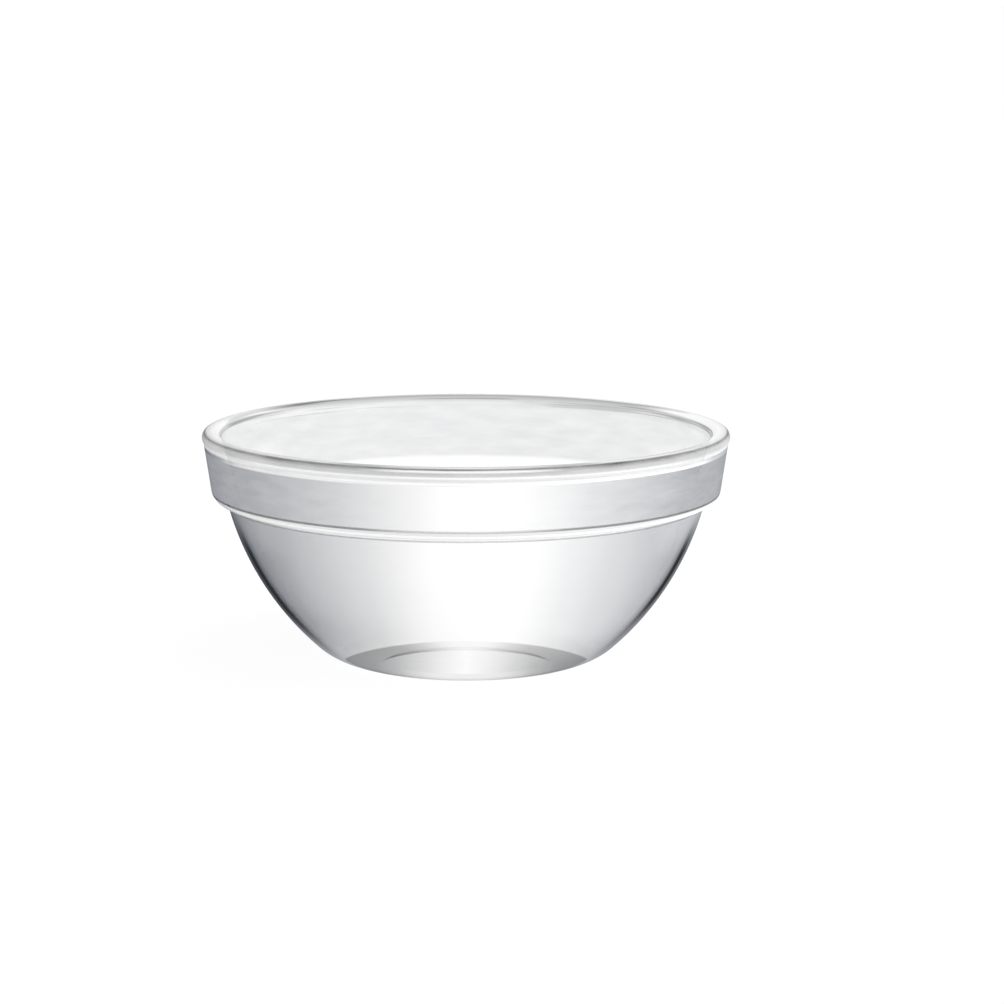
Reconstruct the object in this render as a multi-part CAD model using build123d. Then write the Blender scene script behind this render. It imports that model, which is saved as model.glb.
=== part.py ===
"""Clear pressed-glass prep bowl with a rounded lip and a stacking band, one piece of glass."""

import os
from math import acos, asin, atan2, cos, degrees, hypot, radians, sin, sqrt, tan

from build123d import *

# Driving dimensions, in millimetres and degrees
lip_diameter = 75.0  # widest point, on the bead of the lip
height = 33.0  # table to the top of the lip
lip_thickness = 2.4  # bead to mouth, across the top
bead_radius = 0.87  # round outer edge of the lip
mouth_radius = 1.2  # round inner edge of the lip
bead_overhang = 0.2  # bead past the top of the band
bead_root_radius = 0.4  # hollow under the bead
band_height = 9.85  # top of the lip to the underside of the band
band_draft = 8.1  # taper of the band, wider upwards
band_corner_radius = 1.75  # round lower edge of the band
shoulder_width = 1.95  # band past the lower wall, where a like bowl's lip seats
shoulder_root_radius = 0.2  # hollow where the lower wall meets the band
wall_thickness = 2.0  # lower wall
wall_bulge_radius = 41.2  # outside curve of the lower wall, in section
base_diameter = 31.6  # outer edge of the flat ring that stands on the table
base_edge_radius = 9.0  # turn from the ring into the lower wall
floor_thickness = 3.0  # over the standing ring
floor_corner_radius = 10.0  # turn from the floor into the inner wall
recess_diameter = 23.4  # shallow hollow under the floor
recess_depth = 0.6
recess_edge_radius = 0.5  # rounding at the hollow's edge

# Places on the half section, as (radius, height)
lip_radius = lip_diameter / 2
base_radius = base_diameter / 2
recess_radius = recess_diameter / 2
shoulder_height = height - band_height

# The bead is an arc about this centre, from the top of the lip down to the band's face
bead_centre = (lip_radius - bead_radius, height - bead_radius)
bead_end_angle = -degrees(acos(1 - bead_overhang / bead_radius))
band_top_radius = lip_radius - bead_overhang
band_top_height = bead_centre[1] + bead_radius * sin(radians(bead_end_angle))
band_foot_radius = band_top_radius - (band_top_height - shoulder_height) * tan(radians(band_draft))
shoulder_radius = band_foot_radius - shoulder_width

# The two large roundings stop where their flats end
band_corner_room = (shoulder_width - shoulder_root_radius) * tan(radians(45 + band_draft / 2))
band_corner = min(band_corner_radius, band_corner_room)
mouth_round = min(mouth_radius, lip_thickness - bead_radius)


def on_circle(centre, radius, angle):
    """Point of a circle at an angle in degrees."""
    return (centre[0] + radius * cos(radians(angle)), centre[1] + radius * sin(radians(angle)))


def angle_from(centre, point):
    """Direction of a point seen from a centre, in degrees."""
    return degrees(atan2(point[1] - centre[1], point[0] - centre[0]))


def arc(centre, radius, start, end):
    """Arc of a circle between two angles in degrees."""
    return ThreePointArc(
        on_circle(centre, radius, start),
        on_circle(centre, radius, (start + end) / 2),
        on_circle(centre, radius, end),
    )


def circle_meeting(first, first_radius, second, second_radius):
    """Inner one of the two points at given distances from two centres."""
    gap = hypot(second[0] - first[0], second[1] - first[1])
    along = (first_radius**2 - second_radius**2 + gap**2) / (2 * gap)
    aside = sqrt(first_radius**2 - along**2)
    unit = ((second[0] - first[0]) / gap, (second[1] - first[1]) / gap)
    foot = (first[0] + along * unit[0], first[1] + along * unit[1])
    return min(
        (foot[0] + aside * unit[1], foot[1] - aside * unit[0]),
        (foot[0] - aside * unit[1], foot[1] + aside * unit[0]),
    )


# The lower wall runs from the shoulder into the base edge, tangent to it
base_edge_centre = (base_radius, base_edge_radius)
shoulder_point = (shoulder_radius, shoulder_height)
wall_centre = circle_meeting(
    shoulder_point, wall_bulge_radius, base_edge_centre, wall_bulge_radius - base_edge_radius
)
wall_start_angle = angle_from(wall_centre, base_edge_centre)
wall_end_angle = angle_from(wall_centre, shoulder_point)

# The inner wall shares that centre, then runs straight up to the mouth, tangent to its own arc
inner_radius = wall_bulge_radius - wall_thickness
mouth_point = (lip_radius - lip_thickness, height)
mouth_distance = hypot(mouth_point[0] - wall_centre[0], mouth_point[1] - wall_centre[1])
inner_end_angle = angle_from(wall_centre, mouth_point) - degrees(acos(inner_radius / mouth_distance))
floor_corner_height = floor_thickness + floor_corner_radius
floor_corner_reach = inner_radius - floor_corner_radius
inner_start_angle = degrees(asin((floor_corner_height - wall_centre[1]) / floor_corner_reach))
floor_corner_centre = on_circle(wall_centre, floor_corner_reach, inner_start_angle)


def mould_face():
    """Half section of the outside, filled to the axis, as the mould forms it."""
    recess_edge = (recess_radius, 0)
    recess_top = (recess_radius - recess_depth, recess_depth)
    outline = Curve() + [
        Line((0, recess_depth), recess_top),
        Line(recess_top, recess_edge),
        Line(recess_edge, (base_radius, 0)),
        arc(base_edge_centre, base_edge_radius, -90, wall_start_angle),
        arc(wall_centre, wall_bulge_radius, wall_start_angle, wall_end_angle),
        Line(shoulder_point, (band_foot_radius, shoulder_height)),
        Line((band_foot_radius, shoulder_height), (band_top_radius, band_top_height)),
        arc(bead_centre, bead_radius, bead_end_angle, 90),
        Line((bead_centre[0], height), (0, height)),
        Line((0, height), (0, recess_depth)),
    ]
    face = make_face(outline)
    rounds = [
        (recess_top, recess_edge_radius),
        (recess_edge, recess_edge_radius),
        (shoulder_point, shoulder_root_radius),
        ((band_foot_radius, shoulder_height), band_corner),
        ((band_top_radius, band_top_height), bead_root_radius),
    ]
    for point, radius in rounds:
        corner = face.vertices().sort_by_distance(point)[0]
        face = fillet(corner, radius)
    return face


def plunger_face():
    """Half section of the inside, filled to the axis, as the plunger forms it."""
    wall_top = on_circle(wall_centre, inner_radius, inner_end_angle)
    outline = Curve() + [
        Line((0, floor_thickness), (floor_corner_centre[0], floor_thickness)),
        arc(floor_corner_centre, floor_corner_radius, -90, inner_start_angle),
        arc(wall_centre, inner_radius, inner_start_angle, inner_end_angle),
        Line(wall_top, mouth_point),
        Line(mouth_point, (0, height)),
        Line((0, height), (0, floor_thickness)),
    ]
    return make_face(outline)


def glass_bowl():
    """The bowl: the section between mould and plunger, with its mouth rounded, turned about the axis."""
    section = mould_face() - plunger_face()
    mouth_corner = section.vertices().sort_by_distance(mouth_point)[0]
    section = fillet(mouth_corner, mouth_round)
    return revolve(Plane.XZ * section, Axis.Z)


bowl = glass_bowl()
bowl.label = "glass_bowl"

os.makedirs("parts", exist_ok=True)
export_step(bowl, "parts/glass_bowl.step")
print(f"glass_bowl {bowl.volume / 1000:.2f} cm3, shoulder radius {shoulder_radius:.2f} mm")
print(f"wall centre {wall_centre[0]:.2f}, {wall_centre[1]:.2f}; floor radius {floor_corner_centre[0]:.2f}")
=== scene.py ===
import math
from types import SimpleNamespace

import bpy
import numpy as np
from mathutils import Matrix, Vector


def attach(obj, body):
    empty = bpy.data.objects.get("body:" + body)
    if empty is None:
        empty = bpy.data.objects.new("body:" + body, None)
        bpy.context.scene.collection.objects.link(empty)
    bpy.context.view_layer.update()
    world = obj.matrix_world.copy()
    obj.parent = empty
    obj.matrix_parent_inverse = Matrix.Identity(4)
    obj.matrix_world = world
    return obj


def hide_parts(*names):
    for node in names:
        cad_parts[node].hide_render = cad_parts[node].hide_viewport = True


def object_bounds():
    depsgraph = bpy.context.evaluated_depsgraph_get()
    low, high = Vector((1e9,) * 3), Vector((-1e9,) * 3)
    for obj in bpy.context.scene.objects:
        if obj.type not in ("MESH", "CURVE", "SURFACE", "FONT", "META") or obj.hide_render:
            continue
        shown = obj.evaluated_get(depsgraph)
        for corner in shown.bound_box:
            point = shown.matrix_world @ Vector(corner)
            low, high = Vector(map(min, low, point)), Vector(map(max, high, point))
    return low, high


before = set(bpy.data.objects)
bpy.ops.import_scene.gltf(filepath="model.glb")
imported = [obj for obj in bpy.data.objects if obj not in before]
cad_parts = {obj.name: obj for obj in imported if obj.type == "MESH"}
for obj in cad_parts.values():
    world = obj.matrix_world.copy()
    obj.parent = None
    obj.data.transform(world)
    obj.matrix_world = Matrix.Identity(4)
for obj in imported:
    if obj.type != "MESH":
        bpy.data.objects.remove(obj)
cadLow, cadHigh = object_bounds()  # the CAD box, for the lip and top of the section and the size printed below
print("frame loaded, bowl", [round(1000 * side, 2) for side in cadHigh - cadLow], "mm")


class Wire:
    # one socket of a node tree; arithmetic on it adds Math nodes
    def __init__(self, tree, socket=None):
        self.tree = tree
        self.socket = socket

    def node(self, kind, settings=None, inputs=None, out=0):
        made = self.tree.nodes.new(kind)
        for key, value in (settings or {}).items():
            if key == "stops":
                self.setStops(made.color_ramp, value)
            else:
                setattr(made, key, value)
        for key, value in (inputs or {}).items():
            if isinstance(value, Wire):
                self.tree.links.new(value.socket, made.inputs[key])
            else:
                made.inputs[key].default_value = value
        return Wire(self.tree, made.outputs[out] if len(made.outputs) else None)

    def setStops(self, ramp, stops):
        while len(ramp.elements) < len(stops):
            ramp.elements.new(1.0)
        for element, (place, share) in zip(ramp.elements, stops):
            element.position = place
            element.color = (share, share, share, 1)

    def sum(self, operation, first, second=0.0):
        return self.node("ShaderNodeMath", {"operation": operation}, {0: first, 1: second})

    def __add__(self, other):
        return self.sum("ADD", self, other)

    def __sub__(self, other):
        return self.sum("SUBTRACT", self, other)

    def __rsub__(self, other):
        return self.sum("SUBTRACT", other, self)

    def __mul__(self, other):
        return self.sum("MULTIPLY", self, other)

    __radd__ = __add__
    __rmul__ = __mul__

    def rise(self, low, high):  # 0 below low, 1 above high, smooth between
        settings = {"interpolation_type": "SMOOTHSTEP"}
        return self.node("ShaderNodeMapRange", settings, {"Value": self, "From Min": low, "From Max": high})

    def within(self, low, high):  # 1 between two pairs of heights, smooth at both
        return self.rise(*low) * (1 - self.rise(*high))

    def ramp(self, stops):
        return self.node("ShaderNodeValToRGB", {"stops": stops}, {"Fac": self})

    def scaled(self, start, gain):  # start plus gain times this
        return start + gain * self

    def layer(self, under, over):  # shaders, mixed by this value
        return self.node("ShaderNodeMixShader", None, {0: self, 1: under, 2: over})

    def vector(self, operation, second, out=0):
        return self.node("ShaderNodeVectorMath", {"operation": operation}, {0: self, 1: second}, out=out)

    def sibling(self, name):  # another output of the same node
        return Wire(self.tree, self.socket.node.outputs[name])


def newTree(owner):
    owner.use_nodes = True
    owner.node_tree.nodes.clear()
    return Wire(owner.node_tree)


def arcPoints(centre, radius, start, end, count):
    # centre plus radius times (cos, sin) of angles spread evenly from start to end, in degrees
    angle = np.radians(np.linspace(start, end, count))
    return np.array(centre) + radius * np.stack([np.cos(angle), np.sin(angle)], axis=1)


def angleFrom(centre, point):
    return math.degrees(math.atan2(point[1] - centre[1], point[0] - centre[0]))


bowl = {  # millimetres and degrees, the sizes of the CAD section
    "lipThickness": 2.4,
    "beadRadius": 0.87,
    "mouthRadius": 1.2,
    "beadOverhang": 0.2,
    "beadRootRadius": 0.4,
    "bandHeight": 9.85,
    "bandDraft": 8.1,
    "bandCornerRadius": 1.75,
    "shoulderWidth": 1.95,
    "shoulderRootRadius": 0.2,
    "wallThickness": 2.0,
    "wallBulgeRadius": 41.2,
    "baseDiameter": 31.6,
    "baseEdgeRadius": 9.0,
    "floorThickness": 3.0,
    "floorCornerRadius": 10.0,
    "recessDiameter": 23.4,
    "recessDepth": 0.6,
    "recessEdgeRadius": 0.5,
    "poleRing": 3.0,  # innermost ring of the mesh, under and on the floor
    "turnSteps": 512,  # round the axis
}


def wallCentreOf(b, wallTop, base):
    # the bulge radius away from the wall's top, and that less the edge radius from the base edge's centre
    far = b["wallBulgeRadius"]
    near = far - b["baseEdgeRadius"]
    gap = math.dist(wallTop, base)
    along = (far**2 - near**2 + gap**2) / (2 * gap)
    aside = math.sqrt(far**2 - along**2)
    unit = ((base[0] - wallTop[0]) / gap, (base[1] - wallTop[1]) / gap)
    foot = (wallTop[0] + along * unit[0], wallTop[1] + along * unit[1])
    left = (foot[0] + aside * unit[1], foot[1] - aside * unit[0])
    right = (foot[0] - aside * unit[1], foot[1] + aside * unit[0])
    return min(left, right)


def beadHollow(b, bandTop, bead):
    # centre of the hollow under the bead: its radius off the band's face, both radii off the bead's centre
    draft = math.radians(b["bandDraft"])
    hollow = b["beadRootRadius"]
    face = (math.sin(draft), math.cos(draft))
    start = (bandTop[0] + hollow * face[1], bandTop[1] - hollow * face[0])
    offset = (start[0] - bead[0], start[1] - bead[1])
    half = offset[0] * face[0] + offset[1] * face[1]
    rest = offset[0] ** 2 + offset[1] ** 2 - (b["beadRadius"] + hollow) ** 2
    slide = -half - math.sqrt(half**2 - rest)
    return (start[0] + slide * face[0], start[1] + slide * face[1])


def outsideSection(b, lip, top):
    # the outer half section from the axis under the floor up to the bead's top, tangent lines and arcs
    shoulder = top - b["bandHeight"]
    draft = math.radians(b["bandDraft"])
    bead = (lip - b["beadRadius"], top - b["beadRadius"])
    beadDrop = math.acos(1 - b["beadOverhang"] / b["beadRadius"])
    bandTop = (lip - b["beadOverhang"], bead[1] - b["beadRadius"] * math.sin(beadDrop))
    bandFoot = bandTop[0] - (bandTop[1] - shoulder) * math.tan(draft)
    base = (b["baseDiameter"] / 2, b["baseEdgeRadius"])
    bulge = b["wallBulgeRadius"]
    wall = wallCentreOf(b, (bandFoot - b["shoulderWidth"], shoulder), base)
    turn = angleFrom(wall, base)

    # hollow between lower wall and shoulder
    root = b["shoulderRootRadius"]
    rootZ = shoulder - root
    rootCentre = (wall[0] + math.sqrt((bulge + root) ** 2 - (rootZ - wall[1]) ** 2), rootZ)
    rootAngle = angleFrom(wall, rootCentre)

    # round lower corner of the band, and the hollow under the bead
    corner = b["bandCornerRadius"]
    cornerCentre = (bandFoot - corner * math.tan(math.radians(45) - draft / 2), shoulder + corner)
    hollowCentre = beadHollow(b, bandTop, bead)
    hollowEnd = angleFrom(hollowCentre, bead)

    # shallow hollow under the floor, with a 45 degree edge rounded at both ends
    depth = b["recessDepth"]
    edge = b["recessEdgeRadius"]
    lead = edge * math.tan(math.radians(22.5))
    innerEdge = (b["recessDiameter"] / 2 - depth - lead, depth - edge)
    outerEdge = (b["recessDiameter"] / 2 + lead, edge)
    return wall, np.concatenate([
        [(0.0, depth), (b["poleRing"], depth)],
        arcPoints(innerEdge, edge, 90, 45, 6),
        arcPoints(outerEdge, edge, 225, 270, 6),
        arcPoints(base, b["baseEdgeRadius"], -90, turn, 18),
        arcPoints(wall, bulge, turn, rootAngle, 32)[1:],
        arcPoints(rootCentre, root, rootAngle + 180, 90, 6)[1:],
        arcPoints(cornerCentre, corner, -90, -b["bandDraft"], 18),
        arcPoints(hollowCentre, b["beadRootRadius"], 180 - b["bandDraft"], hollowEnd, 8),
        arcPoints(bead, b["beadRadius"], hollowEnd - 180, 90, 22)[1:],
    ])


def insideSection(b, lip, top, wall):
    # the inner half section from the mouth down to the axis: straight mouth, wall arc, floor corner, floor
    radius = b["wallBulgeRadius"] - b["wallThickness"]
    mouth = (lip - b["lipThickness"], top)
    lean = angleFrom(wall, mouth) - math.degrees(math.acos(radius / math.dist(wall, mouth)))
    floor = b["floorThickness"]
    turn = b["floorCornerRadius"]
    sink = math.degrees(math.asin((floor + turn - wall[1]) / (radius - turn)))
    corner = arcPoints(wall, radius - turn, sink, sink, 1)[0]
    edge = b["mouthRadius"]
    edgeCentre = (mouth[0] + edge / math.tan(math.radians(90 - lean) / 2), top - edge)
    return np.concatenate([
        arcPoints(edgeCentre, edge, 90, 180 + lean, 18),
        arcPoints(wall, radius, lean, sink, 30),
        arcPoints(corner, turn, sink, -90, 18)[1:],
        [(b["poleRing"], floor), (0.0, floor)],
    ])


def turned(name, section, inner, steps):
    # a section turned about the axis: (r cos a, r sin a, z) for every section point and angle, poles closed
    angle = np.linspace(0, 2 * math.pi, steps, endpoint=False)
    ring = section[1:-1]
    x = ring[:, 0, None] * np.cos(angle)
    y = ring[:, 0, None] * np.sin(angle)
    z = np.repeat(ring[:, 1, None], steps, axis=1)
    body = np.stack([x, y, z], axis=2).reshape(-1, 3)
    poles = [(0, 0, section[0, 1]), (0, 0, section[-1, 1])]
    index = np.arange(len(ring) * steps).reshape(len(ring), steps)
    after = np.roll(index, -1, axis=1)
    quads = np.stack([index[:-1], after[:-1], after[1:], index[1:]], axis=2).reshape(-1, 4)
    under = len(body)
    startFan = np.stack([np.full(steps, under), after[0], index[0]], axis=1)
    endFan = np.stack([np.full(steps, under + 1), index[-1], after[-1]], axis=1)
    mesh = bpy.data.meshes.new(name)
    points = np.concatenate([body, poles])
    mesh.from_pydata(points.tolist(), [], quads.tolist() + startFan.tolist() + endFan.tolist())
    flags = np.concatenate([np.repeat(inner[1:-1], steps), inner[[0, -1]]]).astype(np.float32)
    mesh.attributes.new("inner", "FLOAT", "POINT").data.foreach_set("value", flags)
    mesh.shade_smooth()
    mesh.update()
    made = bpy.data.objects.new(name, mesh)
    bpy.context.scene.collection.objects.link(made)
    return made


glass = {
    "indexOfRefraction": 1.5,
    "footBend": 1.05,  # what both faces of the wall's foot bend together
    "grey": (0.076, 0.095, 0.128, 1.0),  # painted shade: the grey that the darkest side of the wall lets through, in place of dark surroundings seen through the glass
    "baseGrey": (0.088, 0.088, 0.088, 1.0),  # painted shade: the same for the standing ring
    "lineShade": (0.020, 0.022, 0.026, 1.0),  # painted shade: what the painted dark lines let through
    "shadowVeil": (0.95, 0.95, 0.95, 1.0),  # what the bowl lets through to the floor
    "lean": (0, 0, 0.27),  # lifts the outward direction by 15 degrees
    "streaks": (180, 180, 800),  # noise per metre: wide round the bowl, fine up it
    "threads": (50, 50, 2600),  # finer lines in the lip

    # gloss
    "innerGloss": 0.15,  # the inside, against one face of the outside
    "lineGloss": 0.12,  # over the dark line low on the wall
    "bandEndLoss": 0.6,  # part of the gloss that is lost at the band's ends, and on the lip
    "lipLoss": 0.7,
    "lensEndLoss": 0.7,  # part of the lip's bending that is lost at the ends

    # shares of painted shade, grey standing in for dark surroundings seen through the glass
    "innerShadeShare": 0.19,  # inside of the band
    "deepShare": 0.30,  # inner wall, seen along its slope
    "stripShare": 0.5,  # under the bead, at the ends
    "baseTurnShare": 0.30,  # where the wall turns into the base
    "upperWallLoss": 0.16,
    "ringShare": 0.53,  # standing ring, and the hollow inside it, from the side
    "hollowShare": 0.46,
    "hollowLeast": 0.05,
    "hollowFade": 0.085,  # per millimetre from the axis
    "ringFacing": 0.30,  # both where they face the eye
    "ringBelow": 0.15,

    # shares of painted dark lines: painted shade where the glass would bend dark surroundings into view
    "mouthLineShade": 0.52,  # inner edge of the lip, and its line at the ends
    "mouthFaintShade": 0.02,
    "rimLineShade": 0.24,
    "threadLineShade": 0.28,
    "stripLineShade": 0.13,
    "creaseLineShade": 0.46,  # lines over and under the band's corner
    "rootLineShade": 0.36,

    # start and gain, by noise or by how far round
    "bandStreak": (0.88, 0.24),
    "innerShadeStreak": (0.55, 0.90),
    "beadStreak": (0.70, 0.60),
    "creaseGain": (0.80, 0.60),
    "ringGain": (0.15, 0.85),

    # soft edges in the turn away from the eye, 0 facing it and 1 edge on
    "beside": (0.02, 0.10),
    "ends": (0.30, 0.52),
    "lineAside": (0.25, 0.50),
    "stripAside": (0.48, 0.68),
    "baseTurnGraze": (0.60, 0.92),
    "mouthGraze": (0.68, 0.80),
    "deepGraze": (0.30, 0.95),
    "deepAlong": (0.30, 0.70),
    "ringAlong": (0.05, 0.60),
    "ringFace": (0.45, 0.85),
    "innerGlossEnd": (0.40, 0.70),
    "threadCut": (0.52, 0.68),  # of the noise
    "stripCut": (0.48, 0.60),

    # heights and radii in millimetres, each pair a soft edge
    "lipInside": (31.0, 31.6),
    "lipOutside": (30.9, 31.2),
    "beadFoot": 31.0,
    "beadHeight": 2.0,
    "mouth": (31.9, 33.0),
    "mouthLine": ((31.9, 32.1), (32.4, 32.6)),
    "strip": ((30.5, 30.7), (31.1, 31.4)),
    "band": ((24.36, 24.46), (30.5, 30.7)),
    "innerShade": ((23.5, 24.3), (32.2, 32.8)),
    "innerShadeEnds": (24.5, 29.5),
    "crease": ((24.20, 24.30), (24.44, 24.70)),
    "corner": ((22.6, 23.0), (24.3, 24.6)),
    "root": ((22.58, 22.68), (22.86, 22.96)),
    "wall": ((0.0, 0.8), (22.7, 22.9)),
    "wallLine": ((0.0, 9.5), (16.5, 23.0)),
    "upperWall": (16.0, 22.0),
    "innerWall": ((4.0, 10.0), (23.0, 26.0)),
    "lineGlossTop": (6.0, 11.0),
    "footGloss": (2.0, 9.0),
    "foot": (12.0, 16.0),
    "baseTurn": (0.3, 1.8),
    "ringTop": (0.6, 1.5),
    "ring": (11.4, 12.8),
    "ringEnd": (17.4, 18.0),

    "wallStops": [  # share of painted shade, against how far the near wall turns aside
        (0.01, 0.00),
        (0.05, 0.115),
        (0.10, 0.24),
        (0.20, 0.39),
        (0.40, 0.59),
        (0.55, 0.70),
        (1.00, 0.82),
    ],
    "bandStops": [
        (0.00, 0.00),
        (0.02, 0.09),
        (0.05, 0.17),
        (0.13, 0.35),
        (0.20, 0.43),
        (0.28, 0.505),
        (0.45, 0.615),
        (1.00, 0.70),
    ],
    "lineStops": [  # painted shade: the dark line just inside the outline of the lower wall
        (0.000, 0.00),
        (0.720, 0.00),
        (0.775, 0.40),
        (0.805, 0.97),
        (0.850, 0.97),
        (0.890, 0.50),
        (1.000, 0.10),
    ],
    "beadFront": [  # share of painted shade lines up the 2 mm of the bead, where it faces the eye
        (0.000, 0.07),
        (0.075, 0.02),
        (0.200, 0.09),
        (0.275, 0.00),
        (0.375, 0.00),
        (0.575, 0.38),
        (0.660, 0.48),
        (0.735, 0.12),
        (0.790, 0.04),
        (0.840, 0.35),
        (0.880, 0.85),
        (0.930, 0.60),
        (0.970, 0.12),
        (1.000, 0.00),
    ],
    "beadBeside": [  # the same further round, and at the ends
        (0.000, 0.05),
        (0.300, 0.03),
        (0.435, 0.12),
        (0.565, 0.30),
        (0.685, 0.46),
        (0.800, 0.58),
        (0.900, 0.76),
        (0.950, 0.66),
        (0.985, 0.12),
        (1.000, 0.00),
    ],
    "beadEnds": [
        (0.000, 0.05),
        (0.300, 0.14),
        (0.450, 0.26),
        (0.600, 0.36),
        (0.750, 0.40),
        (0.850, 0.55),
        (0.910, 0.74),
        (0.950, 0.48),
        (1.000, 0.08),
    ],
}


def drawnNoise(place, stretch, detail):
    drawn = place.vector("MULTIPLY", stretch)
    return place.node("ShaderNodeTexNoise", None, {"Vector": drawn, "Scale": 1.0, "Detail": detail})


def turnAway(tree, direction=None):  # of the surface itself, or of a given direction
    inputs = {"Blend": 0.5}
    if direction is not None:
        inputs["Normal"] = direction
    return tree.node("ShaderNodeLayerWeight", None, inputs, out=1)


def glassPlaces(tree, g):
    # what the material knows of a point: its place, its side, its turn from the eye and its zone
    at = SimpleNamespace()
    place = tree.node("ShaderNodeTexCoord", out=3)
    at.height = 1000 * tree.node("ShaderNodeSeparateXYZ", None, {0: place}, out=2)
    spoke = place.vector("MULTIPLY", (1, 1, 0))
    at.radius = 1000 * spoke.vector("LENGTH", (0, 0, 0), out=1)
    spoke = spoke.vector("NORMALIZE", (0, 0, 0))
    outward = spoke.vector("ADD", g["lean"]).vector("NORMALIZE", (0, 0, 0))
    sideways = spoke.vector("CROSS_PRODUCT", (0, 0, 1))
    at.inner = tree.node("ShaderNodeAttribute", {"attribute_name": "inner"}, out=2)
    at.outer = 1 - at.inner
    at.front = 1 - tree.node("ShaderNodeNewGeometry").sibling("Backfacing")
    at.streak = drawnNoise(place, g["streaks"], 2.0)
    at.thread = drawnNoise(place, g["threads"], 1.0)

    at.graze = turnAway(tree)
    at.turnedAside = turnAway(tree, outward)
    at.aside = tree.sum("MINIMUM", at.turnedAside, at.graze)
    at.along = 1 - turnAway(tree, sideways)
    at.beside = at.aside.rise(*g["beside"])
    at.ends = at.aside.rise(*g["ends"])

    at.lip = at.inner * at.height.rise(*g["lipInside"]) + at.outer * at.height.rise(*g["lipOutside"])
    at.corner = at.outer * at.height.within(*g["corner"])
    at.band = at.outer * at.height.within(*g["band"])
    at.ring = at.radius.rise(*g["ring"])
    at.wall = at.outer * at.ring * at.height.within(*g["wall"])
    at.foot = at.outer * at.front * (1 - at.height.rise(*g["foot"]))
    at.under = at.outer * (1 - at.height.rise(*g["ringTop"])) * (1 - at.radius.rise(*g["ringEnd"]))
    return at


def paintedGreyShare(at, g):
    # painted shade: share of grey on the sides that face the eye, standing in for dark surroundings seen
    # through the glass
    greyShare = at.aside.ramp(g["bandStops"]) * at.band * at.streak.scaled(*g["bandStreak"])
    upper = at.ends * at.height.rise(*g["upperWall"])
    greyShare = greyShare + at.aside.ramp(g["wallStops"]) * at.wall * (1 - g["upperWallLoss"] * upper)
    baseTurn = at.outer * (1 - at.height.rise(*g["baseTurn"]))
    greyShare = greyShare + baseTurn * g["baseTurnShare"] * at.graze.rise(*g["baseTurnGraze"])
    strip = at.outer * at.height.within(*g["strip"])
    greyShare = greyShare + strip * g["stripShare"] * at.aside.rise(*g["stripAside"])
    deep = at.graze.rise(*g["deepGraze"]) * (1 - at.along.rise(*g["deepAlong"]))
    greyShare = greyShare + at.inner * at.height.within(*g["innerWall"]) * g["deepShare"] * deep
    innerShade = at.inner * at.height.within(*g["innerShade"]) * g["innerShadeShare"] * at.streak.scaled(*g["innerShadeStreak"])
    innerShade = innerShade * (1 - at.ends * (1 - at.height.rise(*g["innerShadeEnds"])))
    return at.front * (greyShare + innerShade)


def baseShade(at, g):
    # painted shade: share of grey of the ring and the hollow, seen down through the glass in place of the
    # dark table bent into view, and of the ring from below
    level = at.along + (g["ringFacing"] - at.along) * (1 - at.graze).rise(*g["ringFace"])
    ring = at.ring * g["ringShare"] * level.rise(*g["ringAlong"]).scaled(*g["ringGain"])
    hollow = g["hollowLeast"] + g["hollowShare"] * level * (g["hollowFade"] * at.radius)
    through = ring + (1 - at.ring) * hollow
    return at.under * (through * (1 - at.front) + at.ring * g["ringBelow"] * at.front)


def wallOutline(at, g):
    # painted shade: share of dark line just inside the outline of the lower wall
    line = at.graze.ramp(g["lineStops"]) * at.wall * at.height.within(*g["wallLine"])
    return at.front * line * at.turnedAside.rise(*g["lineAside"])


def ringLines(at, g):
    # painted shade: share of dark lines in rings at fixed heights: bead, strip under it, band's foot and
    # shoulder, then the mouth
    rim = (at.height - g["beadFoot"]) * (1 / g["beadHeight"])
    bead = rim.ramp(g["beadFront"]) * (1 - at.beside) + rim.ramp(g["beadBeside"]) * (at.beside - at.ends)
    bead = bead + rim.ramp(g["beadEnds"]) * at.ends
    outside = at.lip * bead * at.streak.scaled(*g["beadStreak"])
    outside = outside + at.height.within(*g["strip"]) * at.thread.rise(*g["stripCut"]) * g["stripLineShade"]
    outside = outside + at.height.within(*g["crease"]) * g["creaseLineShade"] * at.beside.scaled(*g["creaseGain"])
    outside = outside + at.height.within(*g["root"]) * g["rootLineShade"]
    mouth = at.height.rise(*g["mouth"]) * g["mouthLineShade"] * (1 - at.ends)
    inside = mouth * (1 - at.graze.rise(*g["mouthGraze"])) + at.lip * g["mouthFaintShade"]
    inside = inside + at.lip * at.thread.rise(*g["threadCut"]) * g["threadLineShade"] * at.beside
    inside = inside + at.height.within(*g["mouthLine"]) * g["rimLineShade"] * at.ends
    return at.front * (at.outer * outside + at.inner * inside)


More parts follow.
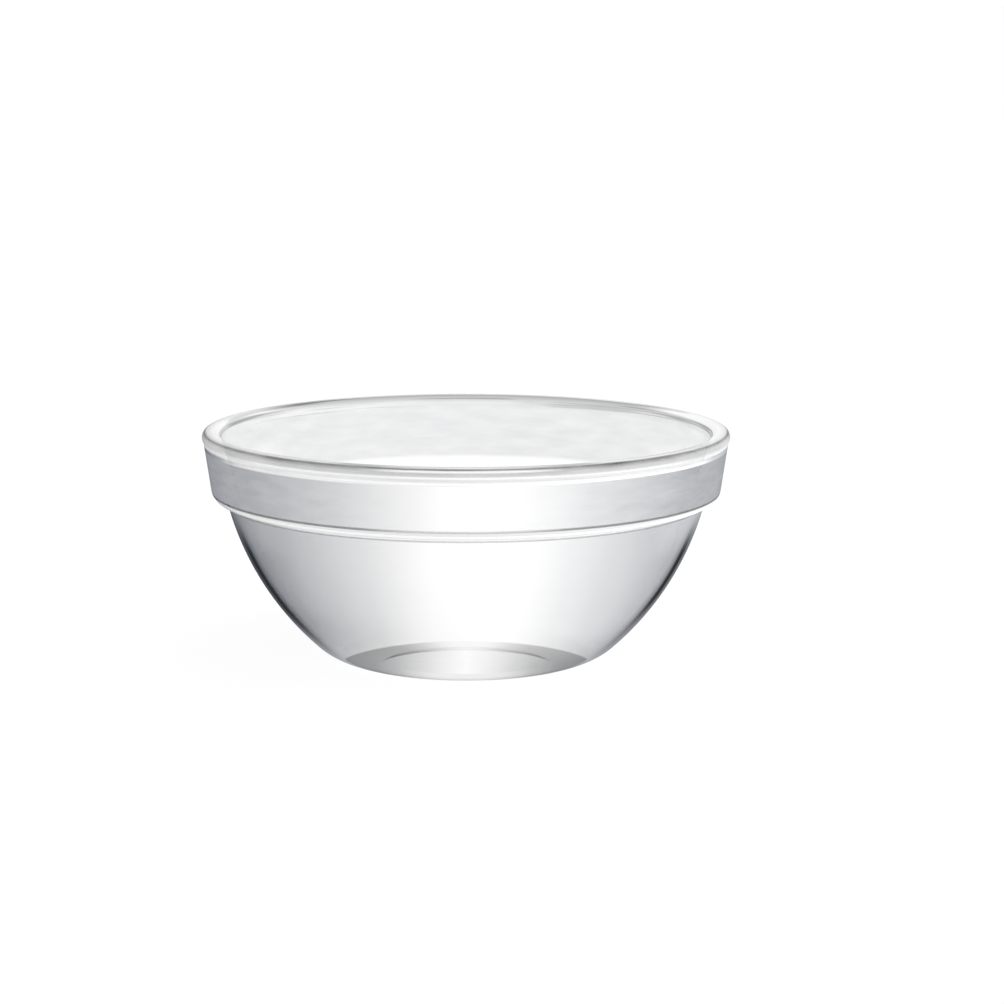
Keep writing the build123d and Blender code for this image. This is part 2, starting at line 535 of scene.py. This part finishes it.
def clearGlass(g):
    # clear glass: light bends in the lip and the band's corner, and a little in the wall's foot;
    # elsewhere the wall is a plain sheet with painted shade: grey towards its sides, grey in the base and
    # dark lines
    made = bpy.data.materials.new("clearGlass")
    tree = newTree(made)
    at = glassPlaces(tree, g)
    outline = wallOutline(at, g)

    lens = tree.node("ShaderNodeBsdfPrincipled", None, {
        "Base Color": (1, 1, 1, 1),
        "Roughness": 0.0,
        "IOR": g["indexOfRefraction"],
        "Transmission Weight": 1.0,
    })
    bend = tree.node("ShaderNodeBsdfRefraction", None, {
        "Color": (1, 1, 1, 1),
        "Roughness": 0.0,
        "IOR": g["footBend"],
    })
    gloss = tree.node("ShaderNodeBsdfGlossy", None, {"Color": (1, 1, 1, 1), "Roughness": 0.0})
    clear = tree.node("ShaderNodeBsdfTransparent", None, {"Color": (1, 1, 1, 1)})
    greyShade = tree.node("ShaderNodeBsdfTransparent", None, {"Color": g["grey"]})
    shade = tree.node("ShaderNodeBsdfTransparent", None, {"Color": g["baseGrey"]})
    lineShade = tree.node("ShaderNodeBsdfTransparent", None, {"Color": g["lineShade"]})
    veil = tree.node("ShaderNodeBsdfTransparent", None, {"Color": g["shadowVeil"]})

    # gloss of both faces on the outside, weaker inside
    face = tree.node("ShaderNodeFresnel", None, {"IOR": g["indexOfRefraction"]})
    outerGloss = at.outer * (2 - face) * (1 - g["bandEndLoss"] * at.band * at.ends)
    outerGloss = outerGloss * at.height.rise(*g["footGloss"]) * (1 - g["lipLoss"] * at.lip)
    innerGloss = at.inner * g["innerGloss"] * (1 - at.graze.rise(*g["innerGlossEnd"]))
    mirror = at.front * face * (outerGloss + innerGloss)
    lensShare = at.front * (at.lip * (1 - g["lensEndLoss"] * at.ends) + at.corner)
    lineGloss = outline * (1 - at.height.rise(*g["lineGlossTop"])) * g["lineGloss"]

    body = mirror.layer(at.foot.layer(clear, bend), gloss)
    body = lensShare.layer(body, lens)
    # painted shade: grey towards the sides of the wall and band, and inside the band
    body = paintedGreyShare(at, g).layer(body, greyShade)
    # painted shade: grey of the base's ring and hollow
    body = baseShade(at, g).layer(body, shade)
    # painted shade: dark lines at the wall's outline and in rings at fixed heights
    body = (outline + ringLines(at, g)).layer(body, lineShade)
    body = lineGloss.layer(body, gloss)
    shadow = tree.node("ShaderNodeLightPath").sibling("Is Shadow Ray")
    tree.node("ShaderNodeOutputMaterial", None, {"Surface": shadow.layer(body, veil)})
    return made


lip = 500 * (cadHigh.x - cadLow.x)
top = 1000 * cadHigh.z
wallCentre, outside = outsideSection(bowl, lip, top)
inside = insideSection(bowl, lip, top, wallCentre)
section = np.concatenate([outside, inside]) * 0.001
innerSide = np.arange(len(section)) >= len(outside)
glassBowl = turned("clear_glass_bowl", section, innerSide, bowl["turnSteps"])
glassBowl.data.materials.append(clearGlass(glass))
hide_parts("glass_bowl")
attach(glassBowl, "root")
print("bowl turned from", len(section), "section points")

stageSet = {
    "floorSize": 6.0,
    "floorDrop": 0.0001,  # keeps the floor clear of the standing ring
    "shadowShare": 0.10,  # part of the floor's white that the bowl can shade
    "floorColour": (0.95, 0.95, 0.95, 1.0),
    "sunPower": 1.4,
    "sunAngle": 50.0,
    "sunTilt": (25.0, -15.0, 0.0),
    "skyForDiffuse": 0.8,
    "softbox": (0.966, -0.259, 0.0),  # direction of the large soft light that the glass reflects
    "studioMean": 1.0,
    "studioSwing": 2.1,
    "studioLeast": 0.08,
}


def paleFloor(s):
    # a wide square under the bowl, white to the eye and through glass, open from below
    half = s["floorSize"] / 2
    corners = [(-half, -half), (half, -half), (half, half), (-half, half)]
    mesh = bpy.data.meshes.new("paleFloor")
    mesh.from_pydata([(x, y, -s["floorDrop"]) for x, y in corners], [], [(0, 1, 2, 3)])
    made = bpy.data.objects.new("paleFloor", mesh)
    made.visible_glossy = False  # reflections see the studio
    bpy.context.scene.collection.objects.link(made)
    paint = bpy.data.materials.new("palePaper")
    tree = newTree(paint)
    diffuse = tree.node("ShaderNodeBsdfDiffuse", None, {"Color": s["floorColour"]})
    glow = tree.node("ShaderNodeEmission", None, {"Color": (1, 1, 1, 1), "Strength": 1.0})
    lit = tree.node("ShaderNodeMixShader", None, {0: s["shadowShare"], 1: glow, 2: diffuse})
    below = tree.node("ShaderNodeNewGeometry").sibling("Backfacing")
    openness = tree.node("ShaderNodeBsdfTransparent")
    tree.node("ShaderNodeOutputMaterial", None, {"Surface": below.layer(lit, openness)})
    mesh.materials.append(paint)
    return made


def studioWorld(s):
    # white to the eye and through glass; reflections see a room that brightens towards the softbox
    world = bpy.data.worlds.new("softStudio")
    bpy.context.scene.world = world
    tree = newTree(world)
    path = tree.node("ShaderNodeLightPath")
    lobe = tree.node("ShaderNodeTexCoord").vector("DOT_PRODUCT", s["softbox"], out=1)
    room = tree.sum("MAXIMUM", s["studioMean"] + s["studioSwing"] * lobe, s["studioLeast"])
    strength = 1 - (1 - s["skyForDiffuse"]) * path.sibling("Is Diffuse Ray")
    strength = strength + (room - 1) * path.sibling("Is Reflection Ray")
    sky = tree.node("ShaderNodeBackground", None, {"Color": (1, 1, 1, 1), "Strength": strength})
    tree.node("ShaderNodeOutputWorld", None, {"Surface": sky})


def softSun(s):
    lamp = bpy.data.lights.new("softSun", "SUN")
    lamp.energy = s["sunPower"]
    lamp.angle = math.radians(s["sunAngle"])
    made = bpy.data.objects.new("softSun", lamp)
    made.rotation_euler = [math.radians(turn) for turn in s["sunTilt"]]
    made.visible_glossy = False
    made.visible_transmission = False
    bpy.context.scene.collection.objects.link(made)


paleFloor(stageSet)
studioWorld(stageSet)
softSun(stageSet)
print("floor, world and lamp placed")

shot = {  # the photograph's viewpoint, pixels in a 1004 square
    "imageSize": 1004,
    "focalPixels": 2574.0,
    "distance": 0.370,
    "elevation": 10.66,
    "aimHeight": 0.017,
    "axisColumn": 466.0,
    "aimRow": 537.5,
    "sensorWidth": 36.0,
}


def photoCamera(s):
    data = bpy.data.cameras.new("photoCamera")
    made = bpy.data.objects.new("photoCamera", data)
    bpy.context.scene.collection.objects.link(made)
    lift = math.radians(s["elevation"])
    away = Vector((0, -math.cos(lift), math.sin(lift)))
    made.location = Vector((0, 0, s["aimHeight"])) + s["distance"] * away
    made.rotation_euler = (-away).to_track_quat("-Z", "Y").to_euler()
    data.sensor_width = s["sensorWidth"]
    data.lens = s["sensorWidth"] * s["focalPixels"] / s["imageSize"]
    data.shift_x = 0.5 - s["axisColumn"] / s["imageSize"]
    data.shift_y = s["aimRow"] / s["imageSize"] - 0.5
    data.clip_start = 0.01
    data.clip_end = 50.0
    bpy.context.scene.camera = made


photoCamera(shot)
bpy.context.scene.view_settings.view_transform = "Standard"
print("camera placed")
